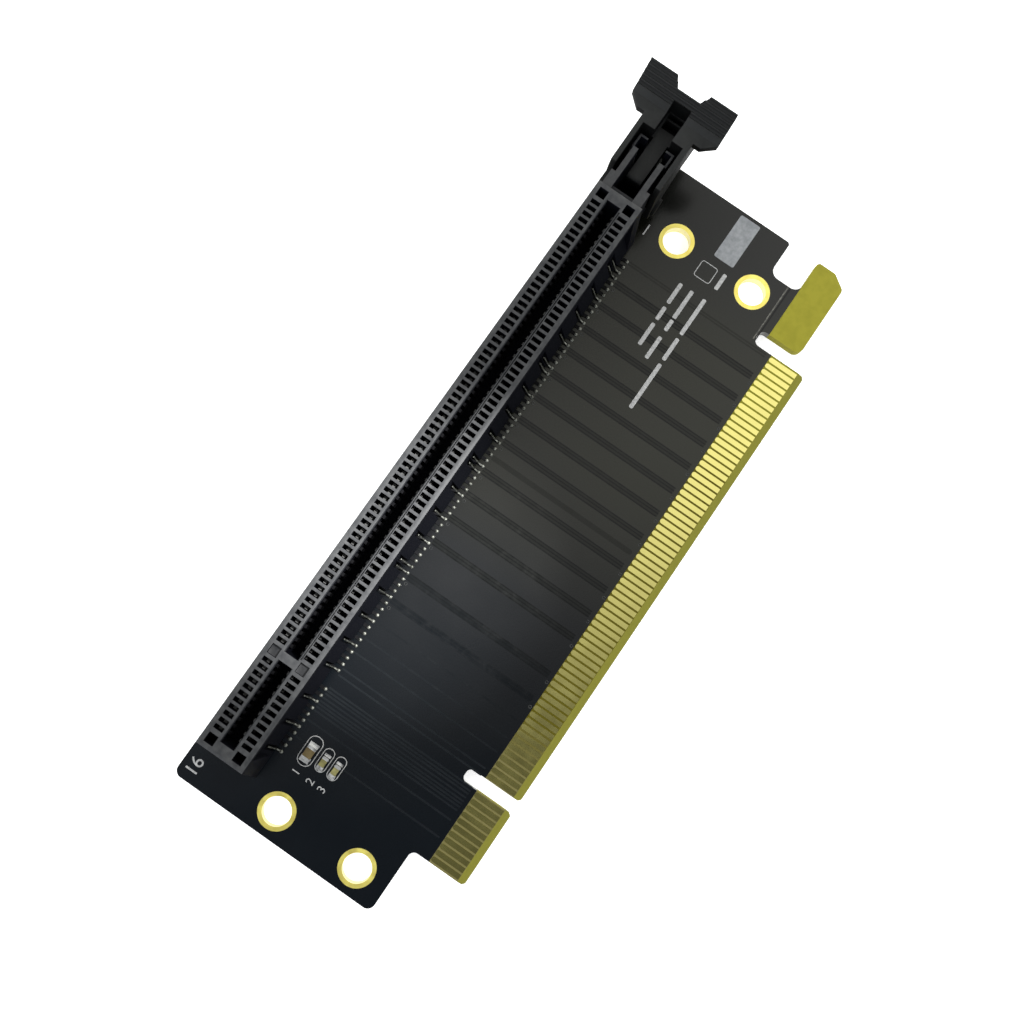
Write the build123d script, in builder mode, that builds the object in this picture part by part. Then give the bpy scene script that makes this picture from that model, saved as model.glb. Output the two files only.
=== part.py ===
from build123d import *
from math import atan2, cos, degrees, radians, sin
import os

os.makedirs("parts", exist_ok=True)

# Right-angle riser card: a flat board with a gold card edge along its front,
# and an upright sixteen-lane slot connector along its back.
# The origin is the centre of the four mounting holes, on the board's underside.
# X runs along the card edge, Y from the card edge to the connector, Z up.

# Card edge contacts, counted from the key notch to each side
pin_pitch = 1.0
first_pin_offset = 1.5
short_pins = 11
long_pins = 71
tongue_margin = 0.65
short_reach = first_pin_offset + (short_pins - 1) * pin_pitch + tongue_margin
long_reach = first_pin_offset + (long_pins - 1) * pin_pitch + tongue_margin

# Mounting holes, each pair outside the end of the card edge
hole_pitch_y = 13.0
hole_left_gap = 6.0
hole_right_gap = 6.1
hole_diameter = 4.0
ring_diameter = 5.2
hole_pitch_x = hole_left_gap + short_reach + long_reach + hole_right_gap

# The key notch and the card edge are the datums of everything below
key_x = hole_left_gap + short_reach - hole_pitch_x / 2
edge_y = -19.5
tongue_left = key_x - short_reach
tongue_right = key_x + long_reach

# Board
board_thickness = 1.6
board_left = tongue_left - 9.6
board_right = tongue_right + 15.4
board_top = edge_y + 40.2
shoulder_y = edge_y + 8.35
mask_thickness = 0.04
board_corner_radius = 1.1
shoulder_radius = 0.9

# Card edge
notch_width = 1.95
notch_depth = 8.2
notch_radius = 0.8
finger_width = 0.72
finger_start = 1.1
finger_end = 5.6
bevel_depth = 0.45
tongue_corner_radius = 0.35

# Hook beside the card edge
gap_width = 2.3
gap_depth = 8.85
gap_radius = 0.95
hook_low = edge_y + 2.4
hook_high = edge_y + 7.5
neck_right = board_right - 5.55
recess_top = edge_y + 12.4
hook_corner_radius = 1.1
hook_toe_x = 1.5
hook_toe_y = 2.2
hook_toe_radius = 0.8
recess_radius = 1.35
hook_tip_radius = 0.3
least_radius = 0.5

# Slot connector, measured from its centre line and from the board's top face
slot_y = edge_y + 35.05
housing_height = 11.25
housing_half_width = 3.475
housing_left = tongue_left - 2.3
housing_right = tongue_right + 2.25
rim_depth = 1.4
rim_step = 0.375
flare_top = 4.2
flare_half_width = 4.15
skirt_foot = 0.3
standoff = 0.4
end_block_length = 1.85
end_block_spread = 1.75

# Slot for the card that plugs in
slot_half_width = 0.95
slot_mouth_half_width = 1.1
slot_lead_in = 0.25
slot_floor = 3.6
slot_left_margin = 1.7
slot_right_margin = 1.65
undercut_margin = 0.4
key_half_width = 0.6

# Windows over the contacts
window_width = 0.62
window_inner = 1.45
window_outer = 2.8
window_bar = 0.85
end_pocket_size = 1.35
end_pocket_depth = 5.0
end_pocket_margin = 0.65
key_pocket_depth = 0.7
key_pocket_width = 1.4

# Grooves low in the side walls, where the lead behind each one shows
groove_width = 0.9
groove_pin_step = 4
groove_group = 17

# Contacts
contact_width = 0.45
contact_thickness = 0.2
foot_reach = 5.05
contact_tip_reach = 0.7
contact_tip_height = 9.6

# Housing pegs that seat in the board
peg_diameter = 1.6
peg_clearance = 0.05
peg_length = 1.3
peg_sides = 12
peg_left_margin = 1.0
peg_right_margin = 2.2

# Tail of the housing, which carries the latch
tail_wall_inner = 1.7
tail_wall_outer = 2.5
tail_wall_end = housing_right + 7.0
tail_wall_height = 10.6
tail_end = housing_right + 9.2
tail_floor = 2.4
tail_frame_outer = 2.75
tail_frame_wall = 0.3
tail_frame_height = 10.2
tail_frame_gap = 1.45
tail_sill_height = 4.8
tail_shoulder_end = housing_right + 2.6
end_wall_x = housing_right + 0.9
end_wall_height = 10.1

# Latch
pivot_x = housing_right + 4.8
pivot_height = 3.4
pin_radius = 0.9
pin_clearance = 0.05
arm_inner = 3.2
arm_thickness = 0.75
arm_back_x = pivot_x - 1.6
arm_hub_radius = 2.0
arm_top = 10.8
arm_corner_run = 0.5
arm_corner_drop = 1.6
hub_boss_radius = 1.3
hub_boss_height = 0.4
bridge_start = pivot_x + 5.4
bridge_end = bridge_start + 5.6
bridge_thickness = 5.85
ear_start = bridge_start + 1.35
ear_knee = ear_start + 1.6
ear_end = ear_knee + 3.7
ear_half_width = 6.9
ear_root_half_width = 5.1
ear_notch_half_width = 1.75
ear_tip_inner = 2.65
ear_rise = 3.0
ear_thickness = 1.1
ear_groove_count = 5
ear_groove_width = 0.35
ear_groove_depth = 0.25
ear_groove_pitch = 0.72
channel_length = 4.4
channel_half_width = 1.4
channel_pockets = [(1.8, 1.4), (3.5, 0.7)]
channel_pocket_half_width = 1.1
channel_pocket_depth = 2.0
tongue_start = pivot_x - 1.3
tongue_half_width = 1.15
tongue_top = 9.2
tongue_thickness = 1.8
tongue_nose_radius = 0.6
tongue_root_run = 1.0

# Capacitors: centre, length, width, height
capacitor_x = key_x - 9.55
capacitor_rows = [
    (edge_y + 26.95, 2.0, 1.25, 0.85),
    (edge_y + 24.65, 1.6, 0.8, 0.8),
    (edge_y + 22.7, 1.6, 0.8, 0.8),
]
terminal_share = 0.2
terminal_wrap = 0.02
pad_overhang = 0.45
pad_side = 0.08

# Sizes that follow from the ones above
face_z = board_thickness
hook_left = tongue_right + gap_width
short_pin_x = [key_x - first_pin_offset - i * pin_pitch for i in range(short_pins)]
long_pin_x = [key_x + first_pin_offset + i * pin_pitch for i in range(long_pins)]
hole_places = [
    (name, sx * hole_pitch_x / 2, sy * hole_pitch_y / 2)
    for name, sx, sy in [
        ("front_left", -1, -1),
        ("front_right", 1, -1),
        ("back_left", -1, 1),
        ("back_right", 1, 1),
    ]
]
peg_places = [housing_left + peg_left_margin, tail_end - peg_right_margin]
slot_left = housing_left + slot_left_margin
slot_right = housing_right - slot_right_margin


def capacitor_pad_rectangles():
    """The centre and size of each of the six copper pads, as x, y, length, width."""
    pads = []
    for y, length, width, height in capacitor_rows:
        pad_length = length * terminal_share + pad_overhang
        reach = length / 2 + pad_overhang - pad_length / 2
        for side in (-1, 1):
            pads.append((capacitor_x + side * reach, y, pad_length, width + 2 * pad_side))
    return pads


def box_between(x0, x1, y0, y1, z0, z1, mode=Mode.ADD):
    """A block between two corners, added to the part being built or cut from it."""
    with Locations(((x0 + x1) / 2, (y0 + y1) / 2, (z0 + z1) / 2)):
        Box(abs(x1 - x0), abs(y1 - y0), abs(z1 - z0), mode=mode)


def finish(builder, name):
    """Label a finished piece and write its file."""
    builder.part.label = name
    export_step(builder.part, f"parts/{name}.step")


# Circuit board
outline = [
    (board_left, shoulder_y, board_corner_radius),
    (tongue_left, shoulder_y, shoulder_radius),
    (tongue_left, edge_y, tongue_corner_radius),
    (key_x - notch_width / 2, edge_y, tongue_corner_radius),
    (key_x - notch_width / 2, edge_y + notch_depth, notch_radius),
    (key_x + notch_width / 2, edge_y + notch_depth, notch_radius),
    (key_x + notch_width / 2, edge_y, tongue_corner_radius),
    (tongue_right, edge_y, tongue_corner_radius),
    (tongue_right, edge_y + gap_depth, gap_radius),
    (hook_left, edge_y + gap_depth, gap_radius),
    (hook_left, hook_low, hook_corner_radius),
    (board_right - hook_toe_x, hook_low, hook_toe_radius),
    (board_right, hook_low + hook_toe_y, hook_toe_radius),
    (board_right, hook_high, hook_tip_radius),
    (neck_right, hook_high, recess_radius),
    (neck_right, recess_top, recess_radius),
    (board_right, recess_top, hook_tip_radius),
    (board_right, board_top, board_corner_radius),
    (board_left, board_top, board_corner_radius),
]
with BuildPart() as circuit_board:
    with BuildSketch():
        with BuildLine():
            Polyline([(x, y) for x, y, radius in outline], close=True)
        make_face()
        for x, y, radius in outline:
            corner = vertices().sort_by_distance((x, y))[0]
            # The least corners are cut straight
            if radius < least_radius:
                chamfer(corner, length=radius)
            else:
                fillet(corner, radius=radius)
    extrude(amount=board_thickness)
    # The solder mask stops short of the fingers, the hook and the pads
    for bare_z in (0, board_thickness - mask_thickness):
        with BuildSketch(Plane.XY.offset(bare_z)):
            with Locations(((board_left + board_right) / 2, edge_y + finger_end / 2)):
                Rectangle(board_right - board_left, finger_end)
            with Locations(((hook_left + board_right) / 2, hook_high / 2 + edge_y / 2)):
                Rectangle(board_right - hook_left, hook_high - edge_y)
        extrude(amount=mask_thickness, mode=Mode.SUBTRACT)
    with BuildSketch(Plane.XY.offset(board_thickness - mask_thickness)):
        for x, y, length, width in capacitor_pad_rectangles():
            with Locations((x, y)):
                Rectangle(length, width)
    extrude(amount=mask_thickness, mode=Mode.SUBTRACT)
    with BuildSketch():
        with Locations(*[(x, y) for name, x, y in hole_places]):
            Circle(ring_diameter / 2)
        with Locations(*[(x, slot_y) for x in peg_places]):
            Circle(peg_diameter / 2 + peg_clearance)
    extrude(amount=board_thickness, mode=Mode.SUBTRACT)
    # Bevel on both faces of the card edge
    with BuildSketch(Plane.YZ.offset(tongue_left)):
        for bare, flank in ((0, bevel_depth), (board_thickness, board_thickness - bevel_depth)):
            with BuildLine():
                Polyline(
                    (edge_y, bare), (edge_y, flank), (edge_y + finger_start, bare), close=True
                )
            make_face()
    extrude(amount=tongue_right - tongue_left, mode=Mode.SUBTRACT)
finish(circuit_board, "circuit_board")


def make_fingers(name, places, low):
    """One row of gold pads, flush with the mask around them."""
    with BuildPart() as fingers:
        with BuildSketch(Plane.XY.offset(low)):
            with Locations(*[(x, edge_y + (finger_start + finger_end) / 2) for x in places]):
                Rectangle(finger_width, finger_end - finger_start)
        extrude(amount=mask_thickness)
    finish(fingers, name)


make_fingers("edge_fingers_front_short", short_pin_x, face_z - mask_thickness)
make_fingers("edge_fingers_front_long", long_pin_x, face_z - mask_thickness)
make_fingers("edge_fingers_back_short", short_pin_x, 0)
make_fingers("edge_fingers_back_long", long_pin_x, 0)

# Plated mounting holes: the barrel and its rings on both faces, as one ring
for name, x, y in hole_places:
    with BuildPart() as plated_hole:
        with BuildSketch():
            with Locations((x, y)):
                Circle(ring_diameter / 2)
                Circle(hole_diameter / 2, mode=Mode.SUBTRACT)
        extrude(amount=board_thickness)
    finish(plated_hole, f"plated_hole_{name}")


# Slot housing
def groove_places():
    """Where the side grooves stand: every fourth pin, restarting every seventeenth."""
    short = short_pin_x[::-1][::groove_pin_step]
    long = [
        long_pin_x[first + step]
        for first in range(0, long_pins, groove_group)
        for step in range(0, groove_group, groove_pin_step)
        if first + step < long_pins - 1
    ]
    return short + long


pin_x = short_pin_x + long_pin_x
wall_half_width = housing_half_width - rim_step
bar_low = face_z + housing_height - window_bar
top_z = face_z + housing_height
with BuildPart() as slot_housing:
    # Body: a narrow wall under a rim, and a skirt that spreads towards the board
    with BuildSketch(Plane.YZ.offset(housing_left)):
        half_section = [
            (0, standoff),
            (flare_half_width, standoff),
            (flare_half_width, standoff + skirt_foot),
            (wall_half_width, flare_top),
            (wall_half_width, housing_height - rim_depth - rim_step),
            (housing_half_width, housing_height - rim_depth),
            (housing_half_width, housing_height),
            (0, housing_height),
        ]
        with BuildLine():
            Polyline([(slot_y + y, face_z + z) for y, z in half_section], close=True)
        make_face()
        mirror(about=Plane.YZ.offset(slot_y))
    extrude(amount=housing_right - housing_left)
    # End blocks, which stand on the board
    for outer, inner, spread in (
        (housing_left, housing_left + end_block_length, end_block_spread),
        (housing_right, housing_right - end_block_length, 0),
    ):
        side = 1 if outer > inner else -1
        foot = outer + side * spread
        with BuildSketch(Plane.XY.offset(face_z)):
            with Locations(((foot + inner) / 2, slot_y)):
                Rectangle(abs(foot - inner), 2 * flare_half_width)
        with BuildSketch(Plane.XY.offset(top_z)):
            with Locations(((outer + inner) / 2, slot_y)):
                Rectangle(abs(outer - inner), 2 * housing_half_width)
        loft()
    # Tail: floor, two walls, a low frame round its end, and the end wall of the slot
    box_between(
        housing_right, tail_end, slot_y - tail_frame_outer, slot_y + tail_frame_outer,
        face_z, face_z + tail_floor,
    )
    box_between(
        housing_right, end_wall_x, slot_y - tail_wall_inner, slot_y + tail_wall_inner,
        face_z, face_z + end_wall_height,
    )
    for side in (-1, 1):
        box_between(
            housing_right, tail_wall_end,
            slot_y + side * tail_wall_inner, slot_y + side * tail_wall_outer,
            face_z, face_z + tail_wall_height,
        )
        box_between(
            housing_right, tail_shoulder_end,
            slot_y + side * tail_wall_inner, slot_y + side * wall_half_width,
            face_z, face_z + tail_wall_height,
        )
        box_between(
            tail_wall_end, tail_end,
            slot_y + side * tail_frame_outer, slot_y + side * (tail_frame_outer - tail_frame_wall),
            face_z, face_z + tail_frame_height,
        )
        box_between(
            tail_end - tail_frame_wall, tail_end,
            slot_y + side * tail_frame_outer, slot_y + side * tail_frame_gap,
            face_z, face_z + tail_frame_height,
        )
    box_between(
        tail_end - tail_frame_wall, tail_end,
        slot_y - tail_frame_outer, slot_y + tail_frame_outer,
        face_z, face_z + tail_sill_height,
    )
    # Pivot holes for the latch
    with BuildSketch(Plane.XZ.offset(-slot_y)):
        with Locations((pivot_x, face_z + pivot_height)):
            Circle(pin_radius + pin_clearance)
    extrude(amount=flare_half_width, both=True, mode=Mode.SUBTRACT)
    # Locating pegs
    with BuildSketch(Plane.XY.offset(face_z)):
        with Locations(*[(x, slot_y) for x in peg_places]):
            RegularPolygon(peg_diameter / 2, peg_sides)
    extrude(amount=-peg_length)
    # Slot, in two lengths with the key between them, wider under the bars beside it
    for start, end in ((slot_left, key_x - key_half_width), (key_x + key_half_width, slot_right)):
        with BuildSketch(Plane.YZ.offset(start)):
            with BuildLine():
                Polyline(
                    (slot_y - slot_half_width, face_z + slot_floor),
                    (slot_y - slot_half_width, top_z - slot_lead_in),
                    (slot_y - slot_mouth_half_width, top_z),
                    (slot_y + slot_mouth_half_width, top_z),
                    (slot_y + slot_half_width, top_z - slot_lead_in),
                    (slot_y + slot_half_width, face_z + slot_floor),
                    close=True,
                )
            make_face()
        extrude(amount=end - start, mode=Mode.SUBTRACT)
        box_between(
            start + undercut_margin, end - undercut_margin,
            slot_y - window_inner, slot_y + window_inner,
            face_z + slot_floor, bar_low, mode=Mode.SUBTRACT,
        )
    # Contact cells, open to the slot below the bar and through the windows above
    window_middle = (window_inner + window_outer) / 2
    sides = (-1, 1)
    with BuildSketch(Plane.XY.offset(face_z)):
        with Locations(*[(x, slot_y + side * window_middle) for x in pin_x for side in sides]):
            Rectangle(window_width, window_outer - window_inner)
    extrude(amount=housing_height, mode=Mode.SUBTRACT)
    # Square pockets at the two ends, and shallow ones at the key
    pocket_left = housing_left + end_pocket_margin + end_pocket_size / 2
    pocket_right = housing_right - end_pocket_margin - end_pocket_size / 2
    with BuildSketch(Plane.XY.offset(top_z)):
        with Locations(*[
            (x, slot_y + side * window_middle) for x in (pocket_left, pocket_right) for side in sides
        ]):
            Rectangle(end_pocket_size, end_pocket_size)
    extrude(amount=-end_pocket_depth, mode=Mode.SUBTRACT)
    with BuildSketch(Plane.XY.offset(top_z)):
        with Locations(*[(key_x, slot_y + side * window_middle) for side in sides]):
            Rectangle(key_pocket_width, end_pocket_size)
    extrude(amount=-key_pocket_depth, mode=Mode.SUBTRACT)
    # Grooves in the skirt
    groove_depth = flare_half_width - wall_half_width
    with BuildSketch(Plane.XY.offset(face_z)):
        with Locations(*[
            (x, slot_y + side * (wall_half_width + groove_depth / 2))
            for x in groove_places() for side in sides
        ]):
            Rectangle(groove_width, groove_depth)
    extrude(amount=flare_top, mode=Mode.SUBTRACT)
finish(slot_housing, "slot_housing")


# Contacts
def strip(points, thickness):
    """The outline of a bent strip that has its middle along the given points."""
    left, right = [], []
    for i, (x, y) in enumerate(points):
        before = points[max(i - 1, 0)]
        after = points[min(i + 1, len(points) - 1)]
        into = atan2(y - before[1], x - before[0]) if i > 0 else None
        away = atan2(after[1] - y, after[0] - x) if i < len(points) - 1 else into
        into = away if into is None else into
        middle = (into + away) / 2
        reach = thickness / 2 / cos((away - into) / 2)
        left.append((x - reach * sin(middle), y + reach * cos(middle)))
        right.append((x + reach * sin(middle), y - reach * cos(middle)))
    return left + right[::-1]


contact_wall = window_outer - contact_thickness / 2
contact_line = [
    (-foot_reach, contact_thickness / 2),
    (-contact_wall, contact_thickness / 2),
    (-contact_tip_reach, contact_tip_height),
]


def make_contacts(name, places, side):
    """One row of spring contacts, each from its foot on the board to its tip."""
    with BuildPart() as contacts:
        with BuildSketch(*[Plane.YZ.offset(x) for x in places]):
            with BuildLine():
                Polyline(
                    [
                        (slot_y - side * y, face_z + z)
                        for y, z in strip(contact_line, contact_thickness)
                    ],
                    close=True,
                )
            make_face()
        extrude(amount=contact_width / 2, both=True)
    finish(contacts, name)


make_contacts("contacts_near_short", short_pin_x, -1)
make_contacts("contacts_near_long", long_pin_x, -1)
make_contacts("contacts_far_short", short_pin_x, 1)
make_contacts("contacts_far_long", long_pin_x, 1)


# Retention latch: one moulding that turns on two pins in the tail walls
pivot_z = face_z + pivot_height
bridge_top = face_z + housing_height
arm_outer = arm_inner + arm_thickness

with BuildPart() as latch_ears:
    # Plan of both ears and the bridge between them, cut to a rising slab
    with BuildSketch(Plane.XY.offset(face_z)):
        with BuildLine():
            Polyline(
                (ear_start, slot_y),
                (ear_start, slot_y + ear_root_half_width),
                (ear_knee, slot_y + ear_half_width),
                (ear_end, slot_y + ear_half_width),
                (ear_end, slot_y + ear_tip_inner),
                (bridge_end, slot_y + ear_notch_half_width),
                (bridge_end, slot_y),
                close=True,
            )
        make_face()
        mirror(about=Plane.XZ.offset(-slot_y))
    extrude(amount=2 * housing_height)
    with BuildSketch(Plane.XZ.offset(-slot_y)):
        with BuildLine():
            Polyline(
                (ear_start, bridge_top - ear_thickness),
                (ear_start, bridge_top),
                (ear_knee, bridge_top),
                (ear_end, bridge_top + ear_rise),
                (ear_end, bridge_top + ear_rise - ear_thickness),
                (ear_knee + ear_thickness / 2, bridge_top - ear_thickness),
                close=True,
            )
        make_face()
    extrude(amount=2 * ear_half_width, both=True, mode=Mode.INTERSECT)
    # Grip grooves across both ears
    slope = degrees(atan2(ear_rise, ear_end - ear_knee))
    with BuildSketch(Plane.XZ.offset(-slot_y)):
        for i in range(ear_groove_count):
            along = (i + 0.75) * ear_groove_pitch
            x = ear_end - along * cos(radians(slope))
            z = bridge_top + ear_rise - along * sin(radians(slope))
            with Locations(Location((x, z), -slope)):
                Rectangle(ear_groove_width, 2 * ear_groove_depth)
    extrude(amount=2 * ear_half_width, both=True, mode=Mode.SUBTRACT)

with BuildPart() as retention_latch:
    add(latch_ears.part)
    # Side arms, each a plate with a round hub about the pivot
    for side in (-1, 1):
        inner = slot_y + side * arm_inner
        with BuildSketch(Plane.XZ.offset(-inner)):
            with BuildLine():
                Polyline(
                    (arm_back_x, face_z + arm_top - arm_corner_drop),
                    (arm_back_x + arm_corner_run, face_z + arm_top),
                    (bridge_start, bridge_top),
                    (bridge_end, bridge_top),
                    (bridge_end, bridge_top - bridge_thickness),
                    (bridge_start, bridge_top - bridge_thickness),
                    (pivot_x + arm_hub_radius, pivot_z),
                    (pivot_x - arm_hub_radius, pivot_z),
                    close=True,
                )
            make_face()
            with Locations((pivot_x, pivot_z)):
                Circle(arm_hub_radius)
        extrude(amount=-side * arm_thickness)
        # Pin, from the arm through its tail wall
        with BuildSketch(Plane.XZ.offset(-inner)):
            with Locations((pivot_x, pivot_z)):
                Circle(pin_radius)
        extrude(amount=side * (arm_inner - tail_wall_inner))
        # Round boss on the outside of the arm
        with BuildSketch(Plane.XZ.offset(-(slot_y + side * arm_outer))):
            with Locations((pivot_x, pivot_z)):
                Circle(hub_boss_radius)
        extrude(amount=-side * hub_boss_height)
    # Bridge between the arms
    box_between(
        bridge_start, bridge_end, slot_y - arm_outer, slot_y + arm_outer,
        bridge_top - bridge_thickness, bridge_top,
    )
    # Tongue that reaches back over the tail, with a rounded nose
    with BuildSketch(Plane.XZ.offset(-slot_y)):
        with BuildLine():
            Polyline(
                (tongue_start, face_z + tongue_top),
                (bridge_start + tongue_root_run, face_z + tongue_top),
                (bridge_start + tongue_root_run, face_z + tongue_top - tongue_thickness),
                (tongue_start, face_z + tongue_top - tongue_thickness),
                close=True,
            )
        make_face()
        nose = vertices().sort_by_distance((tongue_start, face_z + tongue_top))[0]
        fillet(nose, radius=tongue_nose_radius)
    extrude(amount=tongue_half_width, both=True)
    # Channel along the bridge, down to the tongue's top, with two pockets in its floor
    channel_floor = face_z + tongue_top
    with BuildSketch(Plane.XY.offset(channel_floor)):
        with Locations((bridge_start + channel_length / 2, slot_y)):
            Rectangle(channel_length, 2 * channel_half_width)
    extrude(amount=housing_height, mode=Mode.SUBTRACT)
    with BuildSketch(Plane.XY.offset(channel_floor)):
        for offset, length in channel_pockets:
            with Locations((bridge_start + offset + length / 2, slot_y)):
                Rectangle(length, 2 * channel_pocket_half_width)
    extrude(amount=-channel_pocket_depth, mode=Mode.SUBTRACT)
finish(retention_latch, "retention_latch")

# Chip capacitors: a ceramic body between two plated ends, on copper pads
for number, (y, length, width, height) in enumerate(capacitor_rows, start=1):
    terminal = length * terminal_share
    with BuildPart() as ceramic:
        with BuildSketch(Plane.XY.offset(face_z)):
            with Locations((capacitor_x, y)):
                Rectangle(length - 2 * terminal, width)
        extrude(amount=height)
    finish(ceramic, f"capacitor_{number}_body")
    with BuildPart() as ends:
        with BuildSketch(Plane.XY.offset(face_z)):
            with Locations(*[
                (capacitor_x + side * (length - terminal) / 2, y) for side in (-1, 1)
            ]):
                Rectangle(terminal, width + 2 * terminal_wrap)
        extrude(amount=height + terminal_wrap)
    finish(ends, f"capacitor_{number}_terminals")

with BuildPart() as capacitor_pads:
    with BuildSketch(Plane.XY.offset(face_z - mask_thickness)):
        for x, y, length, width in capacitor_pad_rectangles():
            with Locations((x, y)):
                Rectangle(length, width)
    extrude(amount=mask_thickness)
finish(capacitor_pads, "capacitor_pads")
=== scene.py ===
import math
import bpy
from mathutils import Matrix, Vector


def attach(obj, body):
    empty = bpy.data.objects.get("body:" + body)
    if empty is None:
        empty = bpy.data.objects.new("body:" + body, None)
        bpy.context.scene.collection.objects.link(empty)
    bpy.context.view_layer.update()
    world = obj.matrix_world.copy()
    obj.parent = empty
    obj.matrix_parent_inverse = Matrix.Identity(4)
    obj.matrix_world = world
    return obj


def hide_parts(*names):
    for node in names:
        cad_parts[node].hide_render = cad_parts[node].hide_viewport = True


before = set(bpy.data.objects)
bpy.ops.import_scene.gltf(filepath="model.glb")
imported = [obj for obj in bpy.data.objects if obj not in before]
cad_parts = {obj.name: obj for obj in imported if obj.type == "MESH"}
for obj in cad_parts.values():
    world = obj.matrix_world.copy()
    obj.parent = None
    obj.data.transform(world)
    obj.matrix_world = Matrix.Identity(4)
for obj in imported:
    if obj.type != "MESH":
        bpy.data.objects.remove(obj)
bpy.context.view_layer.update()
print("frame loaded")

# Places are in millimetres, in the part's own frame
mm = 0.001
keyX = -30.05          # middle of the key notch
edgeY = -19.5          # card edge
boardTop = 1.6
slotY = 15.55          # middle line of the slot connector
tongueRight = 42.1     # right end of the card edge
sunk = 0.004           # how far the thin layers on the board reach into it
tiny = 0.001           # closer together than this is the same place
wallRise = 0.3         # a face whose normal rises less than this is a wall
topRise = 0.9          # and one whose normal rises more than this looks up

firstPin = 1.5         # from the middle of the key; pins are 1 mm apart
shortCount, longCount = 11, 71
shortPins = [keyX - firstPin - i for i in range(shortCount)]
longPins = [keyX + firstPin + i for i in range(longCount)]
allPins = sorted(shortPins + longPins)


# Small helpers

def selectNone():
    if bpy.context.mode != "OBJECT":
        bpy.ops.object.mode_set(mode="OBJECT")
    bpy.ops.object.select_all(action="DESELECT")


def selectOnly(obj):
    selectNone()
    obj.select_set(True)
    bpy.context.view_layer.objects.active = obj


def applyPlace(obj):
    selectOnly(obj)
    bpy.ops.object.transform_apply(location=True, rotation=True, scale=True)


def addBlock(name, x0, x1, y0, y1, z0, z1):
    selectNone()
    middle = ((x0 + x1) / 2 * mm, (y0 + y1) / 2 * mm, (z0 + z1) / 2 * mm)
    bpy.ops.mesh.primitive_cube_add(size=1, location=middle)
    obj = bpy.context.object
    obj.name = name
    obj.scale = ((x1 - x0) * mm, (y1 - y0) * mm, (z1 - z0) * mm)
    applyPlace(obj)
    return obj


def addLayer(name, x0, x1, y0, y1, height):
    # A thin block on the board: x from the key, y from the card edge
    return addBlock(name, keyX + x0, keyX + x1, edgeY + y0, edgeY + y1, boardTop - sunk, boardTop + height)


def joinAll(pieces, name):
    selectNone()
    for piece in pieces:
        piece.select_set(True)
    bpy.context.view_layer.objects.active = pieces[0]
    bpy.ops.object.join()
    joined = bpy.context.view_layer.objects.active
    joined.name = name
    return joined


def repeatAt(obj, places, name):
    # Copies of one modelled piece, each with its own mesh, joined into one
    copies = []
    for x, y, z in places:
        copy = obj.copy()
        copy.data = obj.data.copy()
        copy.data.transform(Matrix.Translation((x * mm, y * mm, z * mm)))
        bpy.context.collection.objects.link(copy)
        copies.append(copy)
    bpy.data.objects.remove(obj)
    return joinAll(copies, name)


def startSelecting(kind):
    bpy.ops.object.mode_set(mode="EDIT")
    bpy.ops.mesh.select_mode(type=kind)
    bpy.ops.mesh.select_all(action="DESELECT")
    bpy.ops.object.mode_set(mode="OBJECT")


def selectEdges(obj, test):
    # Picks edges by the places of their two ends, and stays in edit mode
    startSelecting("EDGE")
    for edge in obj.data.edges:
        a, b = [obj.data.vertices[i].co / mm for i in edge.vertices]
        edge.select = bool(test(a, b))
    bpy.ops.object.mode_set(mode="EDIT")


def selectTop(obj):
    # Picks the faces that look up, and stays in edit mode
    startSelecting("FACE")
    for face in obj.data.polygons:
        face.select = face.normal.z > topRise
    bpy.ops.object.mode_set(mode="EDIT")


def roundUpright(obj, radius, segments=3, wanted=lambda a: True):
    # Rounds the upright edges of a block, or those of them at wanted places
    selectEdges(obj, lambda a, b: abs(a.x - b.x) < tiny and abs(a.y - b.y) < tiny and wanted(a))
    bpy.ops.mesh.bevel(offset=radius * mm, segments=segments)
    bpy.ops.object.mode_set(mode="OBJECT")


def turnFacesOut():
    bpy.ops.mesh.select_all(action="SELECT")
    bpy.ops.mesh.normals_make_consistent(inside=False)
    bpy.ops.object.mode_set(mode="OBJECT")


def dress(obj, material, body="card"):
    obj.data.materials.clear()
    obj.data.materials.append(material)
    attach(obj, body)


# Materials

noiseSpan = (0.3, 0.7)     # most of a noise lies between these


def startMaterial(name):
    material = bpy.data.materials.new(name)
    material.use_nodes = True
    nodes = material.node_tree.nodes
    shader = nodes["Principled BSDF"]
    place = nodes.new("ShaderNodeTexCoord")
    return material, nodes, material.node_tree.links, shader, place.outputs["Object"]


def addNoise(nodes, links, place, scale, detail, roughness=0.5):
    noise = nodes.new("ShaderNodeTexNoise")
    noise.inputs["Scale"].default_value = scale
    noise.inputs["Detail"].default_value = detail
    noise.inputs["Roughness"].default_value = roughness
    links.new(place, noise.inputs["Vector"])
    return noise.outputs["Fac"]


def addRamp(nodes, links, source, span, *colours):
    ramp = nodes.new("ShaderNodeValToRGB")
    for element, where, colour in zip(ramp.color_ramp.elements, span, colours):
        element.position = where
        element.color = (*colour, 1)
    links.new(source, ramp.inputs["Fac"])
    return ramp.outputs["Color"]


def addRange(nodes, links, source, low, high, toLow, toHigh):
    span = nodes.new("ShaderNodeMapRange")
    for name, value in (("From Min", low), ("From Max", high), ("To Min", toLow), ("To Max", toHigh)):
        span.inputs[name].default_value = value
    links.new(source, span.inputs["Value"])
    return span.outputs["Result"]


def addFade(nodes, links, source, span, toLow, toHigh):
    # A change along one axis, between two places
    low, high = span
    return addRange(nodes, links, source, low * mm, high * mm, toLow, toHigh)


def addBump(nodes, links, height, shader, strength, distance):
    bump = nodes.new("ShaderNodeBump")
    bump.inputs["Strength"].default_value = strength
    bump.inputs["Distance"].default_value = distance
    links.new(height, bump.inputs["Height"])
    links.new(bump.outputs["Normal"], shader.inputs["Normal"])


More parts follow.
